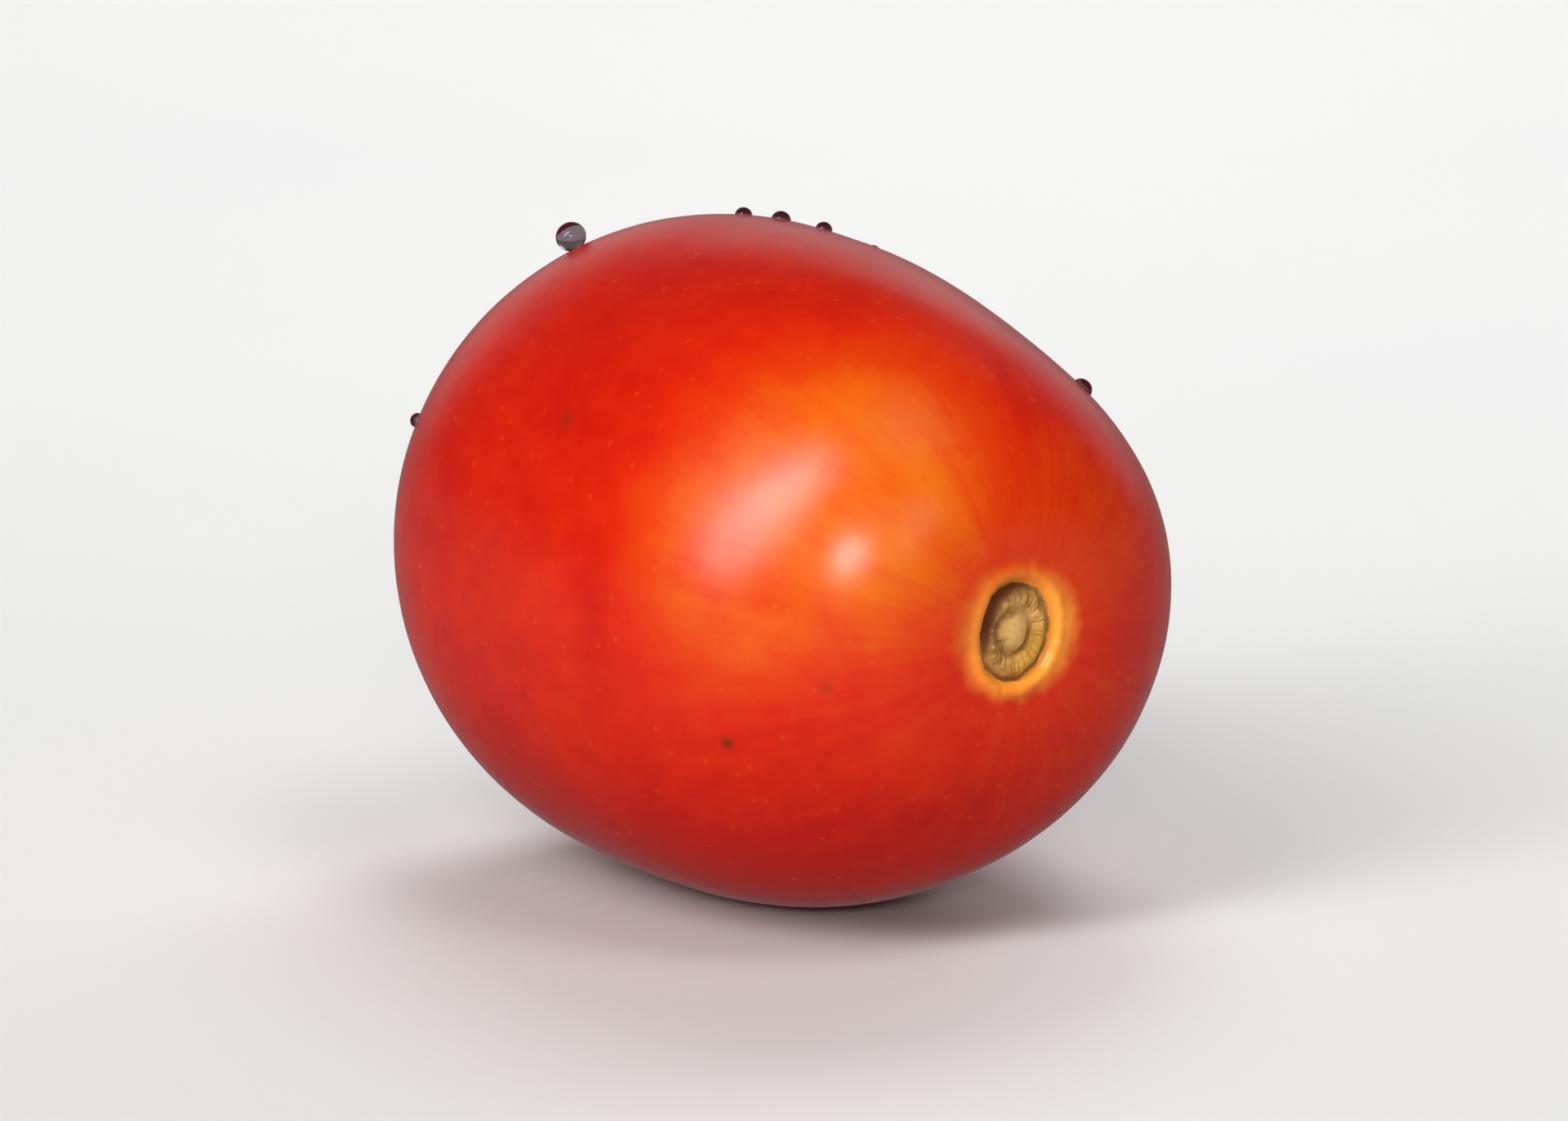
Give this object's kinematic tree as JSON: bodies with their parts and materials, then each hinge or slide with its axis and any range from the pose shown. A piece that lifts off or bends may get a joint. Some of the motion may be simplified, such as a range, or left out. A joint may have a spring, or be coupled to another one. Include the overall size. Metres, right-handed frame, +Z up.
{
  "type": "tomato",
  "caption": "Whole ripe plum tomato, egg-shaped with a corky stem scar, lying on its side on a small flat spot.",
  "frame": {"origin": "on the surface that the fruit rests on, under the middle of its bounding box", "axes": "+Z up, +X along the fruit from the blossom end to the stem scar, +Y to the left of that"},
  "size_m": [0.0614, 0.05, 0.0493],
  "materials": {
    "skin": "smooth glossy red fruit skin, turning orange round the stem scar, with tan cork in the scar",
    "water": "clear water beads on the skin"
  },
  "bodies": {
    "root": {"tomato": "skin"}
  },
  "joints": []
}
